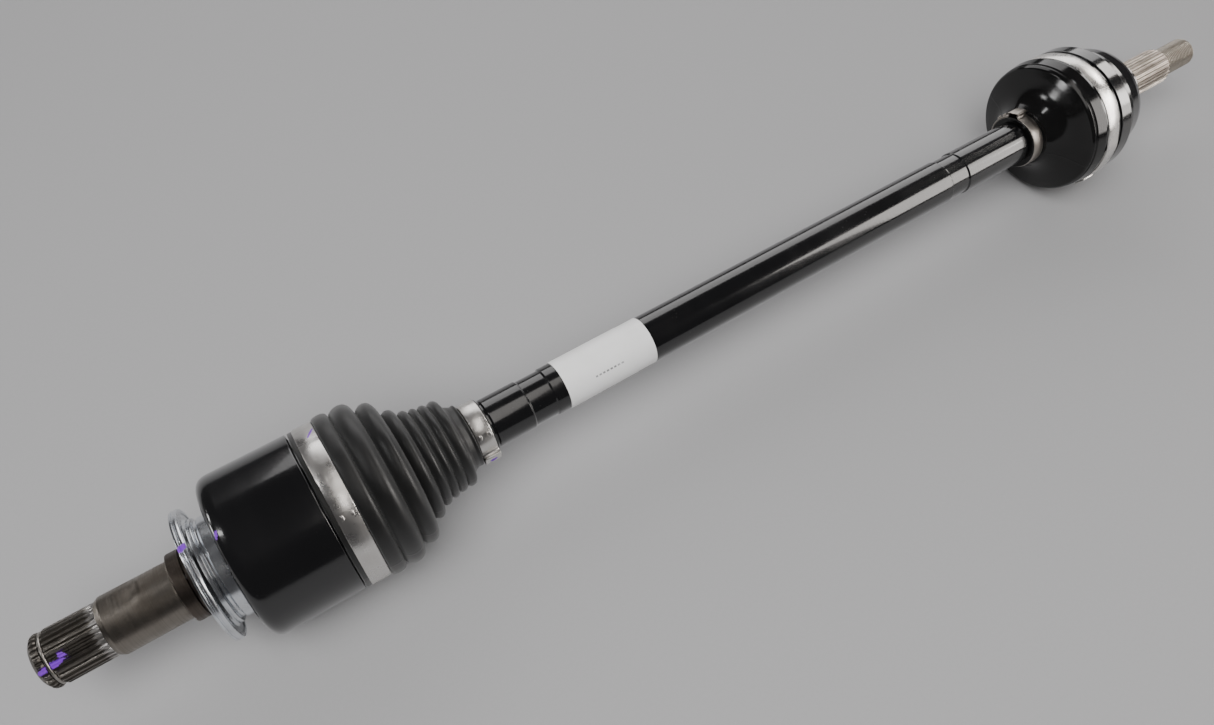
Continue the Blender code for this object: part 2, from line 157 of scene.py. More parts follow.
def leaning(outward, skew):
    """The axle's direction, turned by skew degrees about an outward one."""
    return Matrix.Rotation(math.radians(skew), 3, outward) @ ALONG


def circle(radius, count):
    turns = [2 * math.pi * k / count for k in range(count)]
    return [(radius * math.cos(t), radius * math.sin(t)) for t in turns]


def new_object(name, data):
    made = bpy.data.objects.new(name, data)
    bpy.context.scene.collection.objects.link(made)
    return made


def smooth(mesh, sharp):
    """Smooth shading, with edges above an angle left sharp. 0 leaves none sharp."""
    mesh.shade_smooth()
    if sharp:
        mesh.set_sharp_from_angle(angle=math.radians(sharp))


def from_bmesh(name, bm, sharp):
    mesh = bpy.data.meshes.new(name)
    bm.to_mesh(mesh)
    bm.free()
    smooth(mesh, sharp)
    return new_object(name, mesh)


def mesh_object(name, verts, faces, sharp=35.0):
    mesh = bpy.data.meshes.new(name)
    mesh.from_pydata([tuple(float(c) * MM for c in v) for v in verts], [], faces)
    mesh.validate()
    smooth(mesh, sharp)
    return new_object(name, mesh)


def revolve(name, path, sides=144, closed=False, wave=None, sharp=35.0, normals=False):
    """Turns (x, radius) points about X, the outer side from high to low x. wave sets a radius by angle."""
    verts, rings = [], []
    for x, r in path:
        if r < 1e-6:
            rings.append([len(verts)])
            verts.append((x, 0.0, 0.0))
            continue
        rings.append(list(range(len(verts), len(verts) + sides)))
        for k in range(sides):
            a = 2 * math.pi * k / sides
            radius = wave(x, r, a) if wave else r
            verts.append((x, radius * math.cos(a), radius * math.sin(a)))
    faces = []
    for high, low in zip(rings, rings[1:] + ([rings[0]] if closed else [])):
        for k in range(sides):
            j = (k + 1) % sides
            if len(high) == 1:
                faces.append((high[0], low[k], low[j]))
            elif len(low) == 1:
                faces.append((high[k], low[0], high[j]))
            else:
                faces.append((high[k], low[k], low[j], high[j]))
    made = mesh_object(name, verts, faces, sharp)
    if normals:
        directions = []
        for (nx, nr), ring in zip(normals, rings):
            for k in range(len(ring)):
                a = 2 * math.pi * k / sides
                directions.append(Vector((nx, nr * math.cos(a), nr * math.sin(a))).normalized())
        made.data.normals_split_custom_set_from_vertices(directions)
    return made


def path_normals(path):
    """Outward directions along (x, radius) points whose outer side runs from high x to low x."""
    p = np.array(path, float)
    before = np.roll(p, 1, axis=0)
    after = np.roll(p, -1, axis=0)
    before[0], after[-1] = p[0], p[-1]
    a = p - before
    b = after - p
    a /= np.maximum(np.linalg.norm(a, axis=1, keepdims=True), 1e-9)
    b /= np.maximum(np.linalg.norm(b, axis=1, keepdims=True), 1e-9)
    t = a + b
    t /= np.maximum(np.linalg.norm(t, axis=1, keepdims=True), 1e-9)
    return [(float(v[1]), float(-v[0])) for v in t]


def swept(name, centres, outward, across, profile, sharp=35.0):
    """Sweeps a closed (outward, across) outline along a line of points, and caps both ends."""
    verts = []
    for c, n, s in zip(centres, outward, across):
        for u, v in profile:
            verts.append(c + n * u + s * v)
    faces = []
    count, rows = len(profile), len(centres)
    for i in range(rows - 1):
        low, high = i * count, (i + 1) * count
        for k in range(count):
            j = (k + 1) % count
            faces.append((low + k, low + j, high + j, high + k))
    faces.append(tuple(range(count))[::-1])
    faces.append(tuple(range((rows - 1) * count, rows * count)))
    made = mesh_object(name, verts, faces, 0)
    bm = bmesh.new()
    bm.from_mesh(made.data)
    bmesh.ops.recalc_face_normals(bm, faces=bm.faces)
    bm.to_mesh(made.data)
    bm.free()
    smooth(made.data, sharp)
    return made


def joined(name, pieces, sharp=35.0):
    """One mesh object out of several, in the first one's place."""
    bm = bmesh.new()
    for p in pieces:
        bm.from_mesh(p.data)
        bpy.data.objects.remove(p)
    return from_bmesh(name, bm, sharp)


def carve(made, cutters, sharp=35.0):
    """Cuts each cutter out of a piece and keeps the result as its mesh."""
    for c in cutters:
        step = made.modifiers.new("cut", "BOOLEAN")
        step.operation = "DIFFERENCE"
        step.solver = "EXACT"
        step.object = c
    bpy.context.view_layer.update()
    dg = bpy.context.evaluated_depsgraph_get()
    mesh = bpy.data.meshes.new_from_object(made.evaluated_get(dg))
    made.modifiers.clear()
    made.data = mesh
    for c in cutters:
        bpy.data.objects.remove(c)
    smooth(mesh, sharp)


# ---------------------------------------------------------------- materials


class Look:
    """Builds one node material. Places are millimetres along the axes of the frame."""

    def __init__(self, name):
        self.material = bpy.data.materials.new(name)
        self.material.use_nodes = True
        self.tree = self.material.node_tree
        self.shader = self.tree.nodes["Principled BSDF"]
        texture = self.node("ShaderNodeTexCoord")
        scaled = self.node("ShaderNodeVectorMath", operation="SCALE")
        self.link(texture.outputs["Object"], scaled.inputs[0])
        scaled.inputs["Scale"].default_value = 1000.0
        self.place = scaled.outputs[0]
        split = self.node("ShaderNodeSeparateXYZ")
        self.link(self.place, split.inputs[0])
        self.x, self.y, self.z = split.outputs
        self.angle = self.math("ARCTAN2", self.z, self.y)
        squares = self.math("ADD", self.math("POWER", self.y, 2.0), self.math("POWER", self.z, 2.0))
        self.radius = self.math("SQRT", squares)

    def node(self, kind, **settings):
        made = self.tree.nodes.new(kind)
        for key, value in settings.items():
            setattr(made, key, value)
        return made

    def link(self, a, b):
        self.tree.links.new(a, b)

    def feed(self, socket, value):
        if isinstance(value, (int, float)):
            socket.default_value = value
        elif isinstance(value, tuple):
            needs_alpha = len(socket.default_value) == 4 and len(value) == 3
            socket.default_value = (*value, 1.0) if needs_alpha else value
        else:
            self.link(value, socket)

    def math(self, operation, a, b=0.0, clamp=False):
        made = self.node("ShaderNodeMath", operation=operation, use_clamp=clamp)
        for socket, value in zip(made.inputs, (a, b)):
            self.feed(socket, value)
        return made.outputs[0]

    def times(self, a, b):
        return self.math("MULTIPLY", a, b)

    def vector(self, x, y, z):
        made = self.node("ShaderNodeCombineXYZ")
        for socket, value in zip(made.inputs, (x, y, z)):
            self.feed(socket, value)
        return made.outputs[0]

    def noise(self, scale, detail=3.0, rough=0.55, place=None):
        made = self.node("ShaderNodeTexNoise")
        self.link(place or self.place, made.inputs["Vector"])
        made.inputs["Scale"].default_value = scale
        made.inputs["Detail"].default_value = detail
        made.inputs["Roughness"].default_value = rough
        return made.outputs[0]

    def cells(self, scale, output="Distance"):
        made = self.node("ShaderNodeTexVoronoi")
        self.link(self.place, made.inputs["Vector"])
        made.inputs["Scale"].default_value = scale
        return made.outputs[output]

    def spread(self, value, low, high, to_low=0.0, to_high=1.0):
        made = self.node("ShaderNodeMapRange", interpolation_type="SMOOTHSTEP")
        self.feed(made.inputs["Value"], value)
        for key, number in zip(("From Min", "From Max", "To Min", "To Max"), (low, high, to_low, to_high)):
            made.inputs[key].default_value = number
        return made.outputs["Result"]

    def around(self, along, turn):
        """A place for marks that run round the axle: fine along x, slow round it, with no seam."""
        r = self.math("MAXIMUM", self.radius, 0.001)
        return self.vector(
            self.times(self.x, along),
            self.times(self.math("DIVIDE", self.y, r), turn),
            self.times(self.math("DIVIDE", self.z, r), turn),
        )

    def mix(self, share, a, b):
        made = self.node("ShaderNodeMix", data_type="RGBA")
        self.feed(made.inputs["Factor"], share)
        self.feed(made.inputs[6], a)
        self.feed(made.inputs[7], b)
        return made.outputs[2]

    def blend_value(self, share, a, b):
        made = self.node("ShaderNodeMix", data_type="FLOAT")
        self.feed(made.inputs["Factor"], share)
        self.feed(made.inputs[2], a)
        self.feed(made.inputs[3], b)
        return made.outputs[0]

    def bump(self, height, distance, strength, under=None):
        made = self.node("ShaderNodeBump")
        made.inputs["Strength"].default_value = strength
        made.inputs["Distance"].default_value = distance * MM
        self.feed(made.inputs["Height"], height)
        if under is not None:
            self.link(under, made.inputs["Normal"])
        return made.outputs[0]

    def edges(self, low=0.52, high=0.6):
        geometry = self.node("ShaderNodeNewGeometry")
        return self.spread(geometry.outputs["Pointiness"], low, high)

    def dab(self, x, degrees, radius, length, width, skew):
        """1 inside a stroke of paint on a round surface, 0 outside. skew turns it from the axle's line."""
        depth, ragged = 2.5, 1.4
        outward = direction(degrees)
        along = leaning(outward, skew)
        across = outward.cross(along)
        frame_of_stroke = Matrix((along, across, outward)).transposed()
        made = self.node("ShaderNodeMapping", vector_type="TEXTURE")
        self.link(self.place, made.inputs["Vector"])
        made.inputs["Location"].default_value = Vector((x, 0.0, 0.0)) + outward * radius
        made.inputs["Rotation"].default_value = frame_of_stroke.to_euler()
        made.inputs["Scale"].default_value = (length / 2.0, width / 2.0, depth)
        size = self.node("ShaderNodeVectorMath", operation="LENGTH")
        self.link(made.outputs[0], size.inputs[0])
        rough = self.times(self.math("SUBTRACT", self.noise(0.9, 4.0), 0.5), ragged)
        return self.spread(self.math("ADD", size.outputs["Value"], rough), 1.05, 0.9)

    def marked(self, dabs, colour, rough, metal, dab_rough=0.5):
        """Marks of purple paint over a finish. Where metal is given, it stops under the paint."""
        for stroke in dabs:
            mask = self.dab(*stroke)
            colour = self.mix(mask, colour, PURPLE)
            rough = self.blend_value(mask, rough, dab_rough)
            if metal is not None:
                metal = self.math("SUBTRACT", metal, mask, clamp=True)
        return colour, rough, metal

    def finish(self, colour, rough, metallic=0.0, normal=None, **others):
        self.feed(self.shader.inputs["Base Color"], colour)
        self.feed(self.shader.inputs["Roughness"], rough)
        self.feed(self.shader.inputs["Metallic"], metallic)
        if normal is not None:
            self.link(normal, self.shader.inputs["Normal"])
        for key, value in others.items():
            self.feed(self.shader.inputs[key.replace("_", " ")], value)
        return self.material


PURPLE = (0.19, 0.03, 0.52)


def gloss_paint(name, dabs=(), dust=0.5):
    """Black enamel: orange peel, faint smears in the gloss, dust specks and a thin worn edge."""
    k = Look(name)
    peel = k.noise(0.55, 2.0, 0.4)
    smear = k.noise(0.045, 4.0, 0.6, k.around(0.5, 3.0))
    speck = k.spread(k.cells(0.55), 0.1, 0.04)
    rare = k.spread(k.noise(0.11, 2.0), 0.56, 0.64)
    speck = k.times(k.times(speck, rare), dust)
    wear = k.times(k.edges(0.54, 0.66), k.spread(k.noise(0.5, 4.0), 0.45, 0.62))
    colour = k.mix(smear, (0.003, 0.003, 0.0035), (0.006, 0.006, 0.0065))
    colour = k.mix(k.times(wear, 0.5), colour, (0.12, 0.115, 0.11))
    colour = k.mix(speck, colour, (0.1, 0.095, 0.09))
    rough = k.spread(smear, 0.3, 0.75, 0.13, 0.24)
    rough = k.blend_value(speck, rough, 0.6)
    colour, rough, _ = k.marked(dabs, colour, rough, None, 0.45)
    normal = k.bump(peel, 0.06, 0.35)
    normal = k.bump(speck, 0.08, 0.6, normal)
    return k.finish(colour, rough, 0.0, normal, Coat_Weight=0.6, Coat_Roughness=0.07)


def turned_steel(name, tint, dark, rough, stain, lines, dabs=()):
    """Bare steel off a lathe: fine rings round it, oil stain in patches, brighter where it rubs."""
    k = Look(name)
    rings = k.noise(1.0, 3.0, 0.7, k.around(lines, 0.35))
    fine = k.noise(1.0, 2.0, 0.7, k.around(lines * 5.0, 1.2))
    blot = k.spread(k.noise(0.09, 5.0, 0.62), 0.42, 0.66)
    pits = k.spread(k.cells(1.3), 0.09, 0.03)
    pits = k.times(pits, k.spread(k.noise(0.3, 2.0), 0.52, 0.62))
    colour = k.mix(k.times(blot, stain), tint, dark)
    colour = k.mix(k.spread(rings, 0.3, 0.75, 0.0, 0.35), colour, tuple(c * 0.72 for c in tint))
    colour = k.mix(k.times(k.edges(), 0.6), colour, (0.72, 0.7, 0.68))
    colour = k.mix(k.times(pits, 0.6), colour, (0.09, 0.06, 0.045))
    shine = k.spread(rings, 0.25, 0.8, rough * 0.75, rough * 1.45)
    shine = k.math("ADD", shine, k.times(blot, 0.1))
    colour, shine, metal = k.marked(dabs, colour, shine, 1.0)
    normal = k.bump(rings, 0.03, 0.35)
    normal = k.bump(fine, 0.012, 0.4, normal)
    return k.finish(colour, shine, metal, normal, Anisotropic=0.35)


def zinc_plate(name, dabs=()):
    """Bright bluish zinc on a pressed sheet: soft spangle, press rings and a few handling scuffs."""
    k = Look(name)
    spangle = k.cells(0.45, output="Color")
    grey = k.node("ShaderNodeRGBToBW")
    k.link(spangle, grey.inputs[0])
    rings = k.noise(1.0, 3.0, 0.6, k.around(2.2, 0.5))
    cloud = k.noise(0.12, 4.0)
    scuff = k.spread(k.noise(1.0, 3.0, 0.7, k.around(0.6, 9.0)), 0.62, 0.7)
    colour = k.mix(grey.outputs[0], (0.72, 0.75, 0.79), (0.8, 0.82, 0.85))
    colour = k.mix(k.spread(cloud, 0.45, 0.75, 0.0, 0.22), colour, (0.55, 0.55, 0.52))
    colour = k.mix(k.times(scuff, 0.18), colour, (0.35, 0.34, 0.33))
    rough = k.spread(cloud, 0.3, 0.7, 0.16, 0.26)
    rough = k.math("ADD", rough, k.times(grey.outputs[0], 0.03))
    colour, rough, metal = k.marked(dabs, colour, rough, 1.0)
    normal = k.bump(rings, 0.008, 0.3)
    normal = k.bump(scuff, 0.006, 0.3, normal)
    return k.finish(colour, rough, metal, normal)


def band_steel(name, dabs=(), dull=0.0):
    """Stainless strip: rolling lines that run with the band, smudges and small dents."""
    k = Look(name)
    lines = k.noise(1.0, 4.0, 0.75, k.around(5.0, 0.8))
    smudge = k.noise(0.08, 4.0, 0.6)
    dent = k.spread(k.noise(0.16, 2.0), 0.6, 0.72)
    scratch = k.spread(k.noise(1.0, 2.0, 0.5, k.around(1.1, 26.0)), 0.66, 0.72)
    colour = k.mix(lines, (0.66, 0.64, 0.615), (0.8, 0.785, 0.76))
    colour = k.mix(k.spread(smudge, 0.45, 0.75, 0.0, 0.25), colour, (0.5, 0.47, 0.43))
    colour = k.mix(k.times(scratch, 0.35), colour, (0.9, 0.89, 0.88))
    colour = k.mix(dull, colour, (0.3, 0.25, 0.2))
    rough = k.spread(smudge, 0.3, 0.75, 0.2 + 0.15 * dull, 0.36 + 0.15 * dull)
    rough = k.math("ADD", rough, k.times(lines, 0.06))
    colour, rough, metal = k.marked(dabs, colour, rough, 1.0)
    normal = k.bump(lines, 0.02, 0.5)
    normal = k.bump(dent, -0.08, 0.4, normal)
    normal = k.bump(scratch, -0.02, 0.4, normal)
    return k.finish(colour, rough, metal, normal, Anisotropic=0.3)


def rubber(name, base, rough, dust, grain=0.03, sheen=0.15):
    """Moulded rubber: fine grain, a grey bloom that gathers in the folds, and a flash line down two sides."""
    k = Look(name)
    fine = k.noise(3.2, 3.0, 0.6)
    broad = k.noise(0.06, 4.0, 0.6)
    bloom = k.times(k.spread(broad, 0.35, 0.75), dust)
    hollow = k.spread(k.node("ShaderNodeNewGeometry").outputs["Pointiness"], 0.5, 0.4)
    bloom = k.times(bloom, k.math("ADD", k.times(hollow, 0.8), 0.35))
    speck = k.spread(k.cells(0.6), 0.09, 0.03)
    speck = k.times(speck, k.spread(k.noise(0.13, 2.0), 0.55, 0.66))
    flash = k.spread(k.math("ABSOLUTE", k.math("SINE", k.angle)), 0.013, 0.004)
    pale = (base * 1.7, base * 1.66, base * 1.6)
    colour = k.mix(k.times(fine, 0.5), (base, base, base * 1.02), pale)
    colour = k.mix(k.times(bloom, 0.55), colour, (0.085, 0.082, 0.078))
    colour = k.mix(k.times(speck, 0.5), colour, (0.2, 0.19, 0.18))
    shine = k.spread(broad, 0.3, 0.75, rough * 0.85, rough * 1.2)
    shine = k.math("ADD", shine, k.times(bloom, 0.2))
    normal = k.bump(fine, grain, 0.6)
    normal = k.bump(flash, 0.12, 0.7, normal)
    normal = k.bump(speck, 0.06, 0.5, normal)
    soft = {"Sheen_Weight": sheen, "Sheen_Roughness": 0.5, "Specular_IOR_Level": 0.42}
    return k.finish(colour, shine, 0.0, normal, **soft)


def greased_steel(name, tint, rough, grease=0.6):
    """Hardened steel inside a joint, with a film of dark grease in patches."""
    k = Look(name)
    film = k.spread(k.noise(0.14, 4.0, 0.6), 0.38, 0.62)
    film = k.times(film, grease)
    grind = k.noise(2.2, 3.0, 0.6)
    colour = k.mix(grind, tint, tuple(c * 0.78 for c in tint))
    colour = k.mix(film, colour, (0.07, 0.045, 0.02))
    shine = k.blend_value(film, k.spread(grind, 0.3, 0.7, rough * 0.8, rough * 1.3), 0.12)
    metal = k.math("SUBTRACT", 1.0, k.times(film, 0.7))
    normal = k.bump(grind, 0.01, 0.4)
    normal = k.bump(film, 0.3, 0.6, normal)
    return k.finish(colour, shine, metal, normal, Coat_Weight=film, Coat_Roughness=0.1)


def label_paper(name):
    """Clean white sticker with two short rows of plain, even dashes and no lettering."""
    k = Look(name)

    def dashes(x, half_length, degrees, half_height, spacing):
        along = k.math("LESS_THAN", k.math("ABSOLUTE", k.math("SUBTRACT", k.x, x)), half_length)
        # an angle's distance that doesn't jump where the angle wraps round
        away = k.math("SUBTRACT", k.angle, math.radians(degrees))
        away = k.math("ABSOLUTE", k.math("ARCTAN2", k.math("SINE", away), k.math("COSINE", away)))
        inside = k.math("LESS_THAN", away, half_height / LABEL_R)
        printed = k.math("LESS_THAN", k.math("FRACT", k.math("DIVIDE", k.x, spacing)), 0.6)
        return k.times(k.times(along, inside), printed)

    middle = middle_of(LABEL)
    front_row = dashes(middle - 1.0, 9.5, 141.0, 0.5, 2.4)
    low_row = dashes(middle + 6.0, 20.0, 204.0, 0.6, 3.2)
    ink = k.math("MAXIMUM", front_row, low_row)
    ink = k.times(ink, k.spread(k.noise(0.2, 2.0), 0.3, 0.6, 0.55, 0.85))
    fibre = k.noise(2.5, 4.0, 0.7)
    soil = k.spread(k.noise(0.07, 4.0), 0.5, 0.8, 0.0, 0.16)
    colour = k.mix(fibre, (0.88, 0.88, 0.875), (0.94, 0.94, 0.935))
    colour = k.mix(soil, colour, (0.6, 0.58, 0.54))
    colour = k.mix(ink, colour, (0.09, 0.09, 0.1))
    wrinkle = k.noise(0.09, 2.0, 0.5, k.vector(k.x, k.times(k.angle, 3.0), 0.0))
    normal = k.bump(fibre, 0.008, 0.3)
    normal = k.bump(wrinkle, 0.35, 0.14, normal)
    rough = k.spread(fibre, 0.2, 0.8, 0.42, 0.52)
    return k.finish(colour, rough, 0.0, normal, Coat_Weight=0.2, Coat_Roughness=0.25)


def put(piece, look, body, slot, *stands_for):
    piece.data.materials.clear()
    piece.data.materials.append(look)
    if body:
        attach(piece, body)
    if stands_for:
        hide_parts(*stands_for)
    return piece


# ---------------------------------------------------------------- shared builders


def strip_outline(width, thick):
    """Cross-section of a band with rounded edges: outward, across."""
    half = width / 2.0
    soft = min(thick * 0.42, 0.4)
    outline = [(0.0, half - soft), (soft * 0.3, half - soft * 0.3), (soft, half), (thick - soft, half)]
    outline += [(thick - soft * 0.3, half - soft * 0.3), (thick, half - soft)]
    outline += [(u, -v) for u, v in reversed(outline)]
    return outline


def wound_band(name, place, radius, thick, start, finish, step_length, ear=None):
    """A strip wound over its own start, as wide as place. An ear is (angle, half width, height)."""
    line = []
    overlap, angle_step, run_in = thick * 1.03, 2.5, 1.6

    def base(angle):
        share = (angle - (start + 360.0 - step_length)) / step_length
        share = min(1.0, max(0.0, share))
        return radius + overlap * share * share * (3.0 - 2.0 * share)

    angle = start
    ear_at = ear[0] if ear else None
    reach = math.degrees((ear[1] + run_in) / radius) if ear else 0.0
    while angle < finish:
        if ear and ear_at - reach <= angle <= ear_at + reach:
            half, height = ear[1], ear[2]
            side = [
                (-half - 1.5, 0.0), (-half - 0.7, 0.12), (-half + 0.05, 0.75), (-half + 0.35, height * 0.45),
                (-half + 0.15, height * 0.72), (-half + 0.45, height * 0.93), (-half + 1.3, height),
                (-half * 0.35, height * 1.0), (0.0, height * 0.9),
            ]  # fmt: skip
            side += [(-u, v) for u, v in reversed(side[:-1])]
            for u, v in curve_path(side, 4):
                line.append((ear_at + math.degrees(u / radius), base(ear_at) + v))
            angle = ear_at + reach
            ear = None
        else:
            line.append((angle, base(angle)))
        angle += angle_step
    line.append((finish, base(finish)))
    points = [at(middle_of(place), a, r) for a, r in line]
    outward = []
    for i in range(len(points)):
        ahead = points[min(i + 1, len(points) - 1)] - points[max(i - 1, 0)]
        outward.append(ALONG.cross(ahead.normalized()))
    profile = strip_outline(place[1] - place[0], thick)
    return swept(name, points, outward, [ALONG] * len(points), profile, sharp=50.0)


def block(name, centre, axes, size, soft):
    """A small rounded block: centre, its three axes, its three sizes and the width of its rounded edges."""
    bm = bmesh.new()
    bmesh.ops.create_cube(bm, size=1.0)
    turn = Matrix(axes).transposed().to_4x4()
    scale = Matrix.Diagonal((size[0] * MM, size[1] * MM, size[2] * MM, 1.0))
    bmesh.ops.transform(bm, matrix=scale, verts=bm.verts)
    round_off = {"offset": soft * MM, "offset_type": "OFFSET", "segments": 3, "profile": 0.5}
    bmesh.ops.bevel(bm, geom=list(bm.edges), affect="EDGES", **round_off)
    bmesh.ops.transform(bm, matrix=Matrix.Translation(Vector(centre) * MM) @ turn, verts=bm.verts)
    return from_bmesh(name, bm, 40.0)


def on_band(name, x, angle, radius, size, soft, skew=0.0):
    """A small block sitting on a round surface. Its sizes run along x, round the axle and outward."""
    out = direction(angle)
    along = leaning(out, skew)
    centre = at(x, angle, radius + size[2] / 2.0)
    return block(name, centre, (along, out.cross(along), out), size, soft)


def open_ring(name, x, radius, wire, gap_angle, gap, steps=96):
    """A wire ring with a gap."""
    start, end = gap_angle + gap / 2.0, gap_angle + 360.0 - gap / 2.0
    angles = [start + (end - start) * i / steps for i in range(steps + 1)]
    points, outward = [at(x, a, radius) for a in angles], [direction(a) for a in angles]
    return swept(name, points, outward, [ALONG] * len(points), circle(wire, 14), sharp=50.0)


def with_rows(path, parts, long_face=8.0):
    """Adds rows of points along a path's long faces, so that teeth can start and stop along them."""
    dense = []
    for (xa, ra), (xb, rb) in zip(path, path[1:]):
        dense.append((xa, ra))
        if abs(xb - xa) > long_face:
            dense += [(xa + (xb - xa) * k / parts, ra + (rb - ra) * k / parts) for k in range(1, parts)]
    return dense + [path[-1]]


def tooth_wave(limit, root, run_out):
    """Radius by angle for a spline: trapezium teeth, with the cutter's run-out at one end."""
    gap_end, top_start, top_end, flank = 0.28, 0.5, 0.78, 0.22

    def wave(x, r, angle):
        share = (angle * TEETH / (2 * math.pi)) % 1.0
        if share < gap_end:
            height = 0.0
        elif share < top_start:
            height = (share - gap_end) / flank
        elif share < top_end:
            height = 1.0
        else:
            height = (1.0 - share) / flank
        into = (x - run_out[0]) / (run_out[1] - run_out[0])
        base = root
        if into > 0.0:
            base = root + (limit - root) * min(1.0, into) ** 2
        return min(r, base + (limit - base) * height)

    return wave


def turned(name, corners, look, body):
    """A plain turned steel piece."""
    put(revolve(name, fillet_path(corners), 112), look, body, "machined_steel")


def splined(name, corners, steps, rows, teeth, look, body):
    """A turned steel piece with a spline. teeth holds the outer radius, the root and the run-out."""
    path = with_rows(fillet_path(corners, steps), rows)
    piece = revolve(name, path, TEETH * 14, wave=tooth_wave(*teeth), sharp=30.0)
    put(piece, look, body, "machined_steel")


def boot_sleeve(piece, look, slot, bodies, start, end, *stands_for):
    """Gives part of a boot its look, hides the CAD parts it stands for and bakes its place into the mesh.
    bodies, start and end are not used.
    """
    put(piece, look, None, slot, *stands_for)
    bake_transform(piece)


# ---------------------------------------------------------------- materials of this part

paint_housing = gloss_paint("housing_paint", [(-308.6, 100.0, 41.5, 5.0, 2.0, 70.0)])
paint_bar = gloss_paint("bar_paint", (), 0.7)
paint_bell = gloss_paint("bell_paint", (), 0.3)
stub_steel = turned_steel("stub_steel", (0.27, 0.245, 0.215), (0.15, 0.125, 0.1), 0.36, 0.5, 1.6)
shoulder_steel = turned_steel("shoulder_steel", (0.13, 0.11, 0.095), (0.06, 0.048, 0.04), 0.4, 0.6, 2.0)
spline_steel = turned_steel(
    "spline_steel", (0.2, 0.185, 0.165), (0.09, 0.078, 0.066), 0.34, 0.6, 1.2,
    [(-399.0, 134.0, 13.6, 15.0, 3.4, 8.0), (-392.0, 122.0, 14.0, 5.0, 2.4, -35.0)],
)  # fmt: skip
outer_steel = turned_steel("outer_steel", (0.6, 0.57, 0.53), (0.33, 0.29, 0.25), 0.26, 0.35, 1.6)
outer_spline_steel = turned_steel(
    "outer_spline_steel", (0.23, 0.205, 0.178), (0.1, 0.083, 0.068), 0.33, 0.55, 1.6
)
thread_steel = turned_steel("thread_steel", (0.5, 0.45, 0.38), (0.26, 0.21, 0.155), 0.33, 0.5, 0.6)
shield_zinc = zinc_plate("shield_zinc", [(-325.2, 92.0, 35.2, 5.0, 3.6, 30.0)])
clamp_large_steel = band_steel("clamp_large_steel", [(-252.6, 62.0, 45.2, 10.0, 1.3, 58.0)])
clamp_small_steel = band_steel("clamp_small_steel", [(-177.0, 190.0, 20.6, 5.0, 4.4, 0.0)])
clamp_outer_steel = band_steel("clamp_outer_steel")
clamp_small_plain = band_steel("clamp_small_plain", (), 0.55)
wire_steel = turned_steel("wire_steel", (0.36, 0.34, 0.31), (0.16, 0.14, 0.12), 0.3, 0.5, 0.8)
inner_rubber = rubber("inner_rubber", 0.005, 0.42, 0.16)
outer_rubber = rubber("outer_rubber", 0.004, 0.12, 0.12, grain=0.012, sheen=0.0)
paper = label_paper("sticker_paper")


# ---------------------------------------------------------------- inner joint


def inner_housing():
    mouth = -249.8
    corners = [
        (mouth, 0.0, 0), (mouth, 40.8, 0.7), (-263.5, 40.8, 0.2), (-263.9, 44.0, 0.6),
        (HOUSING_BACK, 44.0, 7.2), (HOUSING_BACK, 24.0, 1.2), (-325.3, 24.0, 0.8),
        (-325.3, 0.0, 0),
    ]
    can = revolve("inner_can", fillet_path(corners, 7), 160)
    cavity_end, past_mouth = HOUSING_BACK + 3.0, -240.0
    bore = [(past_mouth, 0.0), (past_mouth, 33.0), (mouth, 31.2), (-286.0, 23.0)]
    bore += [(cavity_end, 22.0), (cavity_end, 0.0)]
    cutters = [revolve("can_bore", bore, 96)]
    half, reach, corner = 18.3, 35.2, 3.0
    for number, angle in enumerate((90.0, 210.0, 330.0), 1):
        outline = [(-half, 6.0), (half, 6.0), (half, reach - corner)]
        for k in range(1, 8):
            turn = math.pi / 2 * k / 8
            u = half - corner + corner * math.cos(turn)
            v = reach - corner + corner * math.sin(turn)
            outline.append((u, v))
        outline.append((half - corner, reach))
        outline += [(-u, v) for u, v in reversed(outline[2:])]
        out = direction(angle)
        side = ALONG.cross(out)
        centres = [Vector((x, 0.0, 0.0)) for x in (cavity_end + 0.2, past_mouth)]
        profile = [(v, u) for u, v in outline]
        cutters.append(swept(f"can_track_{number}", centres, [out] * 2, [side] * 2, profile))
    carve(can, cutters)
    put(can, paint_housing, "inner_housing", "gloss_black_paint", "inner_housing")

    corners = [
        (-324.9, 0.0, 0), (-324.9, 18.0, 0.3), (-328.6, 18.0, 0.5), (-329.2, 17.3, 0.3),
        (-331.4, 17.3, 0.3), (-331.9, 18.2, 0.4), (-338.0, 18.2, 0.7), (-338.0, 15.0, 0.3),
        (-338.6, 15.0, 0.3), (-338.6, 0.0, 0),
    ]
    turned("inner_shoulder", corners, shoulder_steel, "inner_housing")
    corners = [
        (-337.8, 0.0, 0), (-337.8, 15.1, 0.2), (-339.0, 15.4, 0.8), (-371.4, 15.4, 1.6),
        (-374.0, 13.9, 1.0), (-374.0, 0.0, 0),
    ]
    turned("inner_stub", corners, stub_steel, "inner_housing")

    corners = [
        (-372.0, 0.0, 0), (-372.0, 14.1, 0.1), (-374.0, 14.1, 0.1), (-397.3, 14.1, 0.1),
        (-398.0, 13.4, 0.1), (-398.05, 11.3, 0.2), (-400.0, 11.3, 0.2), (-400.05, 13.4, 0.1),
        (-401.2, 14.0, 0.6), (-403.0, 13.6, 1.2), (-405.0, 10.9, 1.8), (-405.0, 4.0, 0.3),
        (-402.2, 1.0, 0.4), (-402.0, 0.0, 0),
    ]
    teeth = (14.0, 12.8, (-379.0, -373.2))
    splined("inner_spline", corners, 6, 10, teeth, spline_steel, "inner_housing")

    circlip = open_ring("circlip_wire", -399.0, 12.75, 0.85, 205.0, 26.0)
    put(circlip, wire_steel, "inner_housing", "spring_steel", "inner_stub_circlip")


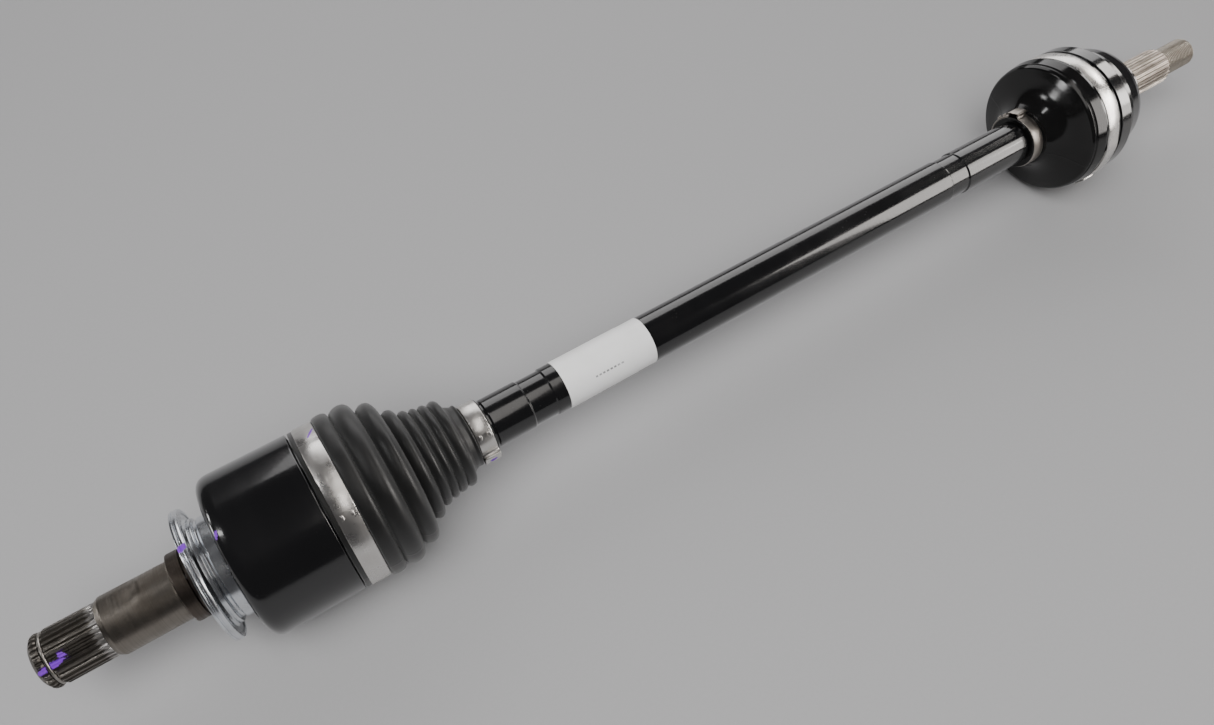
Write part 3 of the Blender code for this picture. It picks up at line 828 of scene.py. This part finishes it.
def dust_shield():
    corners = [
        (HOUSING_BACK - 0.3, 27.2, 0.3), (-317.6, 27.2, 0.4), (-318.3, 26.0, 0.3),
        (-319.6, 26.0, 0.3), (-320.2, 28.4, 0.5), (-322.4, 28.4, 0.4), (-323.6, 29.4, 0.5),
        (-323.6, 32.2, 0.5), (-323.2, 32.9, 0.3), (-323.2, 35.0, 0.4), (-324.0, 35.4, 0.3),
        (-325.0, 35.4, 0.2), (-325.2, 34.9, 0.15), (-325.8, 34.9, 0.15), (-326.0, 35.4, 0.2),
        (-327.2, 35.3, 0.4), (-327.2, 32.2, 0.5), (-327.6, 31.2, 0.5), (-327.6, 29.0, 0.5),
        (-326.7, 28.2, 0.4), (-326.7, 26.6, 0.4), (-327.9, 25.6, 0.4), (-327.9, 24.3, 0.3),
        (HOUSING_BACK - 0.3, 24.3, 0.3),
    ]
    middle = [(corners[0][0], (corners[0][1] + corners[-1][1]) / 2.0, 0)]
    path = fillet_path(middle + corners + middle, 4)[:-1]
    shield = revolve("dust_shield_pressed", path, 144, closed=True)
    put(shield, shield_zinc, "inner_housing", "zinc_plate", "dust_shield")


def band_hooks(x, apart, angle, radius, size):
    """Two small hooks side by side on a band, leaning away from each other."""
    hooks = []
    for i, side in enumerate((-1, 1)):
        hooks.append(on_band(f"hook_{i}", x + side * apart, angle, radius, size, 0.4, 14.0 * side))
    return hooks


def inner_clamps():
    x = middle_of(INNER_LARGE)
    band = wound_band("inner_large_band", INNER_LARGE, 44.1, 0.75, 78.0, 360.0 + 125.0, 10.0)
    locks = enumerate((-2.6, 2.6))
    marks = [on_band(f"lock_{i}", x + v, 128.0, 44.75, (1.6, 2.6, 0.55), 0.25) for i, v in locks]
    band = joined("inner_large_band", [band] + marks, 45.0)
    put(band, clamp_large_steel, "inner_housing", "clamp_steel", "inner_large_clamp")
    ear = (190.0, 3.4, 3.3)
    band = wound_band("inner_small_band", INNER_SMALL, 15.9, 0.8, 58.0, 360.0 + 132.0, 16.0, ear)
    hooks = band_hooks(middle_of(INNER_SMALL), 2.7, 136.0, 17.0, (1.9, 2.8, 1.15))
    band = joined("inner_small_band", [band] + hooks, 45.0)
    put(band, clamp_small_steel, "shaft", "clamp_steel", "inner_small_clamp")


def bulge(high, low, crest, full=0.7, steps=14):
    """One fold of a boot between two valleys, from high x to low x, without its first point."""
    (xa, ra), (xb, rb) = high, low
    points = []
    for k in range(1, steps + 1):
        turn = math.pi * k / steps
        share = (1.0 - math.cos(turn)) / 2.0
        valley = ra + (rb - ra) * share
        points.append((xa + (xb - xa) * share, valley + (crest - valley) * max(0.0, math.sin(turn)) ** full))
    return points


def thinned(valleys, crests, wall, full=0.8, steps=10):
    """The inner side of a row of folds, one wall inside them, from high x to low x."""
    points = [(valleys[0][0], valleys[0][1] - wall)]
    for (xa, ra), (xb, rb), crest in zip(valleys, valleys[1:], crests):
        middle, half = (xa + xb) / 2.0, (xa - xb) / 2.0
        for k in range(1, steps + 1):
            turn = math.pi * k / steps
            valley = (ra + (rb - ra) * (1.0 - math.cos(turn)) / 2.0) - wall
            inside = half - wall * min(1.0, 2.5 * math.sin(turn))
            height = max(0.0, crest - wall - valley) * max(0.0, math.sin(turn)) ** full
            points.append((middle + inside * math.cos(turn), valley + height))
    return points


def inner_boot():
    wall, neck_wall = 1.7, 1.3

    def add(name, bodies, start, end, *stands_for):
        piece = revolve(name, outer + inner, closed=True, sharp=50.0)
        boot_sleeve(piece, inner_rubber, "boot_rubber", bodies, start, end, *stands_for)

    # valleys between the folds, from the small end to the large end: x and radius
    small_valleys = [(-189.0, 20.8), (-195.0, 21.2), (-200.3, 21.6), (-204.9, 22.2), (-210.8, 23.4)]
    small_crests = [25.1, 25.6, 26.4, 27.8]
    middle_valleys = [small_valleys[-1], (-218.3, 27.6), (-228.8, 34.6)]
    middle_crests = [31.7, 40.5]
    large_valleys = [middle_valleys[-1], (-241.2, 39.8), (-249.6, 43.4)]
    large_crests = [45.3, 45.45]
    cuff_start, cuff_end = -262.9, INNER_SMALL[1] + 0.9
    # large cuff, lip and first fold
    outer = [large_valleys[0]] + bulge(large_valleys[0], large_valleys[1], large_crests[0], 0.62)
    outer += bulge(large_valleys[1], large_valleys[2], large_crests[1], 0.4)
    cuff = [
        (-249.8, 43.8, 0), (-250.1, 43.8, 0.1), (cuff_start, 43.8, 0.7), (cuff_start, 41.2, 0.3),
        (-252.0, 41.1, 0),
    ]
    outer += fillet_path(cuff, 4)
    inner = list(reversed(thinned(large_valleys[:2], large_crests[:1], wall)))
    inner = [(-249.2, 41.1), (-246.0, 42.8), (-243.4, 41.4)] + inner[1:]
    add("inner_boot_large_end", ("inner_housing", "inner_boot"), -0.2495, -0.2288, "inner_boot")
    # middle folds
    outer = [middle_valleys[0]]
    for high, low, crest in zip(middle_valleys, middle_valleys[1:], middle_crests):
        outer += bulge(high, low, crest, 0.62)
    inner = list(reversed(thinned(middle_valleys, middle_crests, wall)))
    add("inner_boot_middle", ("inner_boot", "trunnion_bearing"), -0.2288, -0.2108)
    # small folds, neck and small cuff
    neck = [
        (cuff_end, 14.4, 0), (cuff_end, 15.6, 0.5), (-182.0, 15.7, 0.2), (-182.5, 18.2, 0.7),
        (-184.2, 17.6, 1.2), (-187.2, 19.0, 1.6), (-189.0, 20.8, 0),
    ]
    outer = fillet_path(neck, 4)
    for high, low, crest in zip(small_valleys, small_valleys[1:], small_crests):
        outer += bulge(high, low, crest, 0.7, 12)
    inner = list(reversed(thinned(small_valleys, small_crests, neck_wall)))
    inner += [(-186.6, 17.0), (-184.2, 13.5), (cuff_end, 13.5)]
    add("inner_boot_small_end", ("trunnion_bearing", "shaft"), -0.2108, -0.190)


# ---------------------------------------------------------------- bar and label


def shaft_bar():
    outer_end = [
        (15.5, 0.0, 0), (15.5, 9.8, 0.3), (14.3, 11.0, 0.3), (14.0, 11.0, 0.1), (14.0, 9.5, 0.2),
        (12.2, 9.5, 0.2), (12.2, 11.0, 0.1), (-13.0, 11.0, 0.4), (-15.0, 12.0, 1.0),
    ]
    between = [
        (249.0, 12.0, 3.0), (244.5, 13.2, 2.0), (229.4, 13.2, 0.3), (228.6, 14.0, 0.5),
        (176.4, 14.0, 0.4), (175.5, 13.3, 0.4), (161.9, 13.3, 0.4), (161.0, 14.0, 0.4),
        (-132.4, 14.0, 0.4), (-133.3, 13.3, 0.4), (-146.9, 13.3, 0.4), (-147.8, 14.0, 0.4),
        (-169.3, 14.0, 0.4), (-170.1, 13.2, 0.4), (-186.6, 13.2, 2.0), (-194.0, 11.5, 4.0),
    ]
    inner_end = [
        (14.0, 11.5, 1.5), (11.5, 11.0, 1.0), (-10.2, 11.0, 0.1), (-10.2, 9.7, 0.2),
        (-12.2, 9.7, 0.2), (-12.2, 11.0, 0.1), (-12.8, 11.0, 0.1), (-13.8, 9.8, 0.3),
        (-13.8, 0.0, 0),
    ]
    corners = moved(OUTER_CENTRE, outer_end) + between + moved(INNER_CENTRE, inner_end)
    bar = revolve("bar", fillet_path(corners), 128)
    put(bar, paint_bar, "shaft", "gloss_black_paint", "shaft_bar")


def wrap(name, x_at, width, radius, start, finish, thick, lift):
    """One turn of paper. x_at gives its middle by angle, and lift how far its last edge stands off."""
    points, outward = [], []
    steps = 140
    for i in range(steps + 1):
        share = i / steps
        angle = start + (finish - start) * share
        rise = thick * 1.1 * min(1.0, max(0.0, (angle - start - 340.0) / 20.0))
        rise += lift * max(0.0, (share - 0.93) / 0.07) ** 2
        points.append(at(x_at(share), angle, radius + rise))
        outward.append(direction(angle))
    half = width / 2.0
    profile = [(0.0, -half), (0.0, half), (thick, half), (thick, -half)]
    return swept(name, points, outward, [ALONG] * len(points), profile, sharp=30.0)


def label():
    low, high = LABEL
    middle, width = (low + high) / 2.0 + 0.2, high - low - 0.6
    under = wrap("label_under", lambda s: middle, width, 14.06, 82.0, 446.0, 0.12, 0.0)
    over = wrap("label_over", lambda s: low + 22.5 + 1.2 * s, 44.0, LABEL_R, 12.0, 366.0, 0.12, 0.4)
    sheet = joined("label_sheet", [under, over], 30.0)
    put(sheet, paper, "shaft", "label_paper", "label")


# ---------------------------------------------------------------- outer joint


def outer_boot():
    """Two sleeves that meet in the smooth face and share its surface directions, so the seam is hidden."""
    sides = 176
    shoulder = OUTER_SMALL[1] + 1.0
    seam = (243.6, 22.0)
    cuff = [
        (229.7, 13.5, 0), (229.7, 17.2, 0.6), (shoulder, 17.3, 0.2), (shoulder + 0.2, 18.9, 0.4),
        (shoulder + 0.8, 19.4, 0),
    ]
    cuff = fillet_path(cuff, 4)
    face = [cuff[-1], (242.0, 20.6), seam, (245.4, 24.0), (247.2, 26.6)]
    face += [(248.8, 29.8), (250.2, 33.6), (251.6, 37.8)]
    rim = [
        (251.6, 37.8, 0), (253.2, 42.2, 1.8), (255.0, 43.4, 0.9), (256.4, 42.9, 0.4),
        (257.2, 43.7, 0.4), (264.2, 44.7, 0.9), (265.0, 43.9, 0.3), (278.4, 43.9, 0.6),
        (278.4, 41.3, 0),
    ]
    path = cuff[:-1] + curve_path(face, 5)[:-1] + fillet_path(rim, 5)
    path.reverse()
    normals = path_normals(path)
    cut = path.index(seam)
    lip = (seam[0] + 1.5, seam[1] - 1.4)
    small_inner = [(240.6, 13.5), (242.2, 17.0), (243.6, 19.2), lip]
    large_inner = [lip, (247.0, 23.4), (249.2, 26.6), (251.0, 29.4), (252.8, 34.8)]
    large_inner += [(254.6, 39.6), (257.6, 41.6), (265.4, 41.7), (266.0, 41.3)]
    small_normals = normals[cut:] + path_normals([path[-1]] + small_inner)[1:]
    large_normals = normals[: cut + 1] + path_normals([path[cut]] + large_inner)[1:]
    slot, seam_x = "boot_thermoplastic", seam[0] * MM
    piece = revolve("outer_boot_small_end", path[cut:] + small_inner, sides, True, None, 0, small_normals)
    boot_sleeve(piece, outer_rubber, slot, ("shaft", "outer_boot"), 0.2400, seam_x, "outer_boot")
    large_path = path[: cut + 1] + large_inner
    piece = revolve("outer_boot_large_end", large_path, sides, True, None, 0, large_normals)
    boot_sleeve(piece, outer_rubber, slot, ("outer_boot", "outer_bell"), seam_x, 0.2655)


def outer_clamps():
    ear = (212.0, 4.2, 1.9)
    band = wound_band("outer_large_band", OUTER_LARGE, 44.2, 0.8, 170.0, 360.0 + 236.0, 10.0, ear)
    put(band, clamp_outer_steel, "outer_bell", "clamp_steel", "outer_large_clamp")
    ear = (425.0, 3.8, 3.2)
    band = wound_band("outer_small_band", OUTER_SMALL, 17.5, 0.75, 350.0, 720.0 + 52.0, 18.0, ear)
    hooks = band_hooks(middle_of(OUTER_SMALL), 2.5, 26.0, 18.4, (1.8, 2.8, 1.1))
    band = joined("outer_small_band", [band] + hooks, 45.0)
    put(band, clamp_small_plain, "shaft", "clamp_steel", "outer_small_clamp")


def sphere_line(radius, low, high, count):
    points = []
    for i in range(count + 1):
        x = high + (low - high) * i / count
        points.append((OUTER_CENTRE + x, math.sqrt(radius**2 - x**2)))
    return points


def outer_bell():
    mouth, seat, bearing_face = 266.0, 41.0, 330.0
    corners = [
        (bearing_face + 0.3, 0.0, 0), (bearing_face + 0.3, 19.0, 0.4),
        (bearing_face - 0.6, 20.2, 0.5), (bearing_face - 3.8, 20.3, 0.6),
        (bearing_face - 4.2, 21.6, 0.4), (323.2, 22.6, 0.8), (319.4, 26.2, 1.6),
        (316.6, 28.2, 0.5), (316.0, 30.2, 0.5), (311.2, 33.4, 1.2), (309.8, 35.2, 0.7),
        (306.6, 36.4, 0.8), (298.4, 38.2, 0.6), (297.8, 38.9, 0.4), (291.0, 39.6, 0.9),
        (290.4, 42.4, 0.7), (289.0, 43.9, 0.9), (280.0, 43.9, 0.5), (279.4, seat, 0.3),
        (mouth + 0.5, seat, 0.3), (mouth, seat - 0.8, 0.2), (mouth, 0.0, 0),
    ]
    bell = revolve("bell", fillet_path(corners, 6), 160)
    bore = [(OUTER_CENTRE + 29.6, 0.0)] + sphere_line(29.6, -10.8, 28.4, 14)
    bore += [(mouth - 0.4, 39.0), (mouth - 6.0, 45.0), (mouth - 6.0, 0.0)]
    cutters = [revolve("bell_cavity", bore, 96)]
    groove_r, ball_circle_r = 9.6, 26.6
    groove_start, groove_arc, stations = -62.0, 101.0, 17
    for number, angle in enumerate((90.0, 30.0, 330.0, 270.0, 210.0, 150.0), 1):
        out = direction(angle)
        side = ALONG.cross(out)
        centres, outward = [], []
        for i in range(stations):
            turn = math.radians(groove_start + groove_arc * i / (stations - 1))
            tilt = ALONG * math.sin(turn) + out * math.cos(turn)
            centres.append(Vector((OUTER_CENTRE, 0.0, 0.0)) + tilt * ball_circle_r)
            outward.append(tilt)
        tube = circle(groove_r, 24)
        cutters.append(swept(f"bell_groove_{number}", centres, outward, [side] * stations, tube))
    carve(bell, cutters)
    put(bell, paint_bell, "outer_bell", "gloss_black_paint", "outer_bell")

    corners = [
        (3.4, 0.0, 0), (3.4, 12.6, 0.2), (2.6, 13.4, 0.4), (1.4, 13.6, 0.4), (0.9, 16.0, 0.4),
        (-0.1, 16.4, 0.2), (-0.1, 0.0, 0),
    ]
    corners = moved(bearing_face, corners)
    turned("bell_bearing_face", corners, outer_steel, "outer_bell")

    corners = [
        (376.0, 0.0, 0), (376.0, 9.0, 0.2), (374.6, 9.0, 0.4), (374.2, 11.6, 0.5),
        (373.2, 12.6, 0.6), (333.0, 12.6, 0.1), (332.6, 12.6, 0.1), (332.6, 0.0, 0),
    ]
    teeth = (12.6, 11.5, (338.0, 333.0))
    splined("outer_spline", corners, 5, 14, teeth, outer_spline_steel, "outer_bell")
    thread()


def thread():
    """The wheel end's thread: radius depends on how far a point is along the helix."""
    pitch, crest, depth = 1.5, 9.85, 0.92
    start, end = 375.4, HALF_LENGTH
    nose_r, nose_slope, rings_per_turn = 8.3, 0.9, 9
    rings = int((end - start) / pitch * rings_per_turn)
    path = [(end, 0.0), (end, 5.2), (end - 0.05, 5.6)]
    for i in range(rings + 1):
        x = end - (end - start) * i / rings
        path.append((x, crest))
    path.append((start, 0.0))

    def wave(x, r, angle):
        if r < 8.0:
            return r
        phase = ((x / pitch) + angle / (2 * math.pi)) % 1.0
        ridge = 1.0 - abs(phase * 2.0 - 1.0)
        ridge = min(1.0, max(0.0, (ridge - 0.12) / 0.7))
        fade = min(1.0, max(0.0, (x - start - 0.6) / 1.6))
        radius = crest - depth + depth * ridge * fade
        return min(radius, nose_r + max(0.0, end - x) * nose_slope)

    piece = revolve("wheel_thread", path, 96, wave=wave, sharp=0)
    put(piece, thread_steel, "outer_bell", "machined_steel")


# ---------------------------------------------------------------- pieces kept from the CAD


def inside_parts():
    looks = {
        "spider": greased_steel("spider_steel", (0.5, 0.49, 0.48), 0.28),
        "spider_ring": wire_steel,
        "cage": greased_steel("cage_steel", (0.3, 0.28, 0.26), 0.36),
        "inner_race": greased_steel("race_steel", (0.5, 0.49, 0.48), 0.24),
        "race_circlip": wire_steel,
    }
    polished = greased_steel("polished_steel", (0.72, 0.72, 0.72), 0.1, 0.35)
    needles = greased_steel("needle_steel", (0.62, 0.6, 0.57), 0.24, 0.5)
    for number in (1, 2, 3):
        looks[f"roller_{number}"] = polished
        looks[f"needle_bearing_{number}"] = needles
        looks[f"roller_retainer_{number}"] = wire_steel
    for number in range(1, 7):
        looks[f"ball_{number}"] = polished
    for name, look in looks.items():
        node = bpy.data.objects[name] if name in bpy.data.objects else frame["nodes"][name]
        for slot_number in range(len(node.material_slots)):
            node.material_slots[slot_number].material = look
        smooth(node.data, 50 if name.startswith("ball") else 32)


# ---------------------------------------------------------------- stage


def area(name, centre, target, width, height, radiance, diffuse=False, colour=WHITE, reflects=True):
    """A rectangular softbox. Most only show as reflections; the far wall and the fill light the object."""
    light = bpy.data.lights.new(name, "AREA")
    light.shape = "RECTANGLE"
    light.size, light.size_y = width, height
    light.energy = radiance * math.pi * width * height
    light.color = colour
    made = new_object(name, light)
    made.location = centre
    made.rotation_euler = (Vector(target) - Vector(centre)).to_track_quat("-Z", "Y").to_euler()
    made.visible_diffuse = diffuse
    made.visible_glossy = reflects


def stage():
    floor_height = -0.0458
    place = (0, 0, floor_height)
    bpy.ops.mesh.primitive_grid_add(x_subdivisions=4, y_subdivisions=4, size=8.0, location=place)
    floor = bpy.context.object
    floor.name = "floor"
    look = Look("floor_paper")
    fine = look.noise(0.5, 4.0, 0.6)
    colour = look.mix(fine, (0.36, 0.36, 0.367), (0.385, 0.385, 0.392))
    look.finish(colour, 0.75, 0.0, look.bump(fine, 0.05, 0.3))
    floor.data.materials.append(look.material)

    world = bpy.data.worlds.new("studio")
    world.use_nodes = True
    sky = world.node_tree.nodes["Background"].inputs
    sky["Color"].default_value = (0.62, 0.61, 0.63, 1.0)
    sky["Strength"].default_value = 0.1
    bpy.context.scene.world = world
    warm = (1.0, 0.96, 0.92)
    area("far_wall", (1.4, 1.7, 1.05), (1.0, 0.0, 0.0), 3.6, 1.5, 2.3, True, (1.0, 0.985, 0.985))
    area("fill", (-0.6, -0.6, 1.6), (0.0, 0.0, 0.0), 1.8, 1.4, 6.0, True, (1.0, 0.99, 0.98), False)
    area("overhead", (-0.02, -0.3, 1.0), (0.0, -0.2, 0.0), 0.34, 0.9, 2.2, False, warm)
    area("near_side", (1.1, -0.83, 0.56), (0.5, 0.0, 0.0), 0.6, 1.0, 7.0, False, warm)
    area("far_end_high", (1.7, 0.1, 1.05), (0.7, 0.05, 0.0), 0.6, 0.5, 11.0, False, warm)
    area("far_end_side", (1.75, -0.78, 0.72), (0.7, 0.0, 0.0), 0.6, 0.5, 11.0, False, warm)
    area("face_low", (-1.65, 0.62, 0.12), (0.25, 0.0, 0.0), 0.2, 0.2, 16.0)
    area("face_high", (-1.5, 0.89, 0.47), (0.25, 0.0, 0.0), 0.2, 0.2, 16.0)
    area("face_strip", (-1.17, 0.3, 1.36), (0.25, 0.0, 0.0), 0.16, 0.7, 12.0)

    camera = bpy.data.cameras.new("camera")
    camera.sensor_width = 36.0
    camera.lens = 27.3
    camera.clip_start = 0.01
    made = new_object("camera", camera)
    right = Vector((0.8390, -0.5439, 0.0)).normalized()
    up = Vector((0.4516, 0.6965, 0.5574)).normalized()
    eye = Matrix.Translation((-0.2516, -0.2438, 0.4302))
    made.matrix_world = eye @ Matrix((right, up, right.cross(up))).transposed().to_4x4()
    bpy.context.scene.camera = made


inner_housing()
dust_shield()
inner_clamps()
inner_boot()
shaft_bar()
label()
outer_boot()
outer_clamps()
outer_bell()
inside_parts()
stage()
